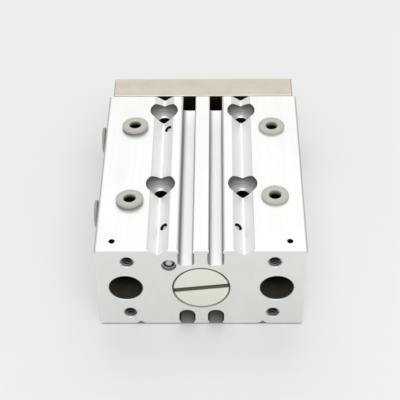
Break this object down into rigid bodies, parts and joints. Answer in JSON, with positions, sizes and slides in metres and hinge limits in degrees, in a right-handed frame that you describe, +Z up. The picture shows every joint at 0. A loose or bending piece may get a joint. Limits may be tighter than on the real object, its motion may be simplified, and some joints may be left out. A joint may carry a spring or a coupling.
{
  "type": "twin-guide pneumatic cylinder",
  "caption": "Compact pneumatic cylinder block whose piston rod and parallel guide rods push an end plate straight out; grooved body with sensor slots, ports and mounting holes.",
  "frame": {"origin": "on the base face, under the bore axis, in the plane of the rear face", "axes": "+Y along the bore towards the end plate, +Z up out of the grooved top face, +X across the body, to the right seen from the rear"},
  "size_m": [0.0654, 0.0897, 0.0345],
  "materials": {
    "body_anodised": "matte silver anodised extrusion",
    "cap_champagne": "pale chromate, turned face",
    "collar_aluminium": "clear anodised",
    "seal_rubber": "black nitrile",
    "bumper_urethane": "brown urethane",
    "bush_bronze": "sintered bronze",
    "ring_steel": "phosphated spring steel",
    "plug_plastic": "beige grey moulded",
    "ball_steel": "polished ball",
    "plate_nickel": "nickel plated, fine brushed",
    "rod_chrome": "hard chrome, ground",
    "piston_aluminium": "turned",
    "magnet_dark": "bonded magnet",
    "screw_black": "black oxide"
  },
  "bodies": {
    "barrel": {"cylinder_body": "body_anodised", "head_cap": "cap_champagne", "head_cap_seal": "seal_rubber", "rod_collar": "collar_aluminium", "collar_seal": "seal_rubber", "rod_seal": "seal_rubber", "rod_bush": "bush_bronze", "collar_retaining_ring": "ring_steel", "collar_bumper": "bumper_urethane", "guide_bush_left": "bush_bronze", "guide_bush_right": "bush_bronze", "port_plug_left_rear": "plug_plastic", "port_plug_left_front": "plug_plastic", "port_plug_right_rear": "plug_plastic", "port_plug_right_front": "plug_plastic", "port_plug_side_rear": "plug_plastic", "port_plug_side_front": "plug_plastic", "groove_passage_balls": "ball_steel", "rear_passage_ball": "ball_steel"},
    "slide_unit": {"end_plate": "plate_nickel", "piston_rod": "rod_chrome", "piston": "piston_aluminium", "piston_seal": "seal_rubber", "piston_magnet": "magnet_dark", "piston_bumper": "bumper_urethane", "guide_rod_left": "rod_chrome", "guide_rod_right": "rod_chrome", "guide_rod_screw_left": "screw_black", "guide_rod_screw_right": "screw_black", "piston_rod_screw": "screw_black"}
  },
  "joints": [
    {"name": "rod_extend", "type": "slide", "parent": "barrel", "child": "slide_unit", "axis": [0, 1, 0], "range_m": [0, 0.04]}
  ]
}
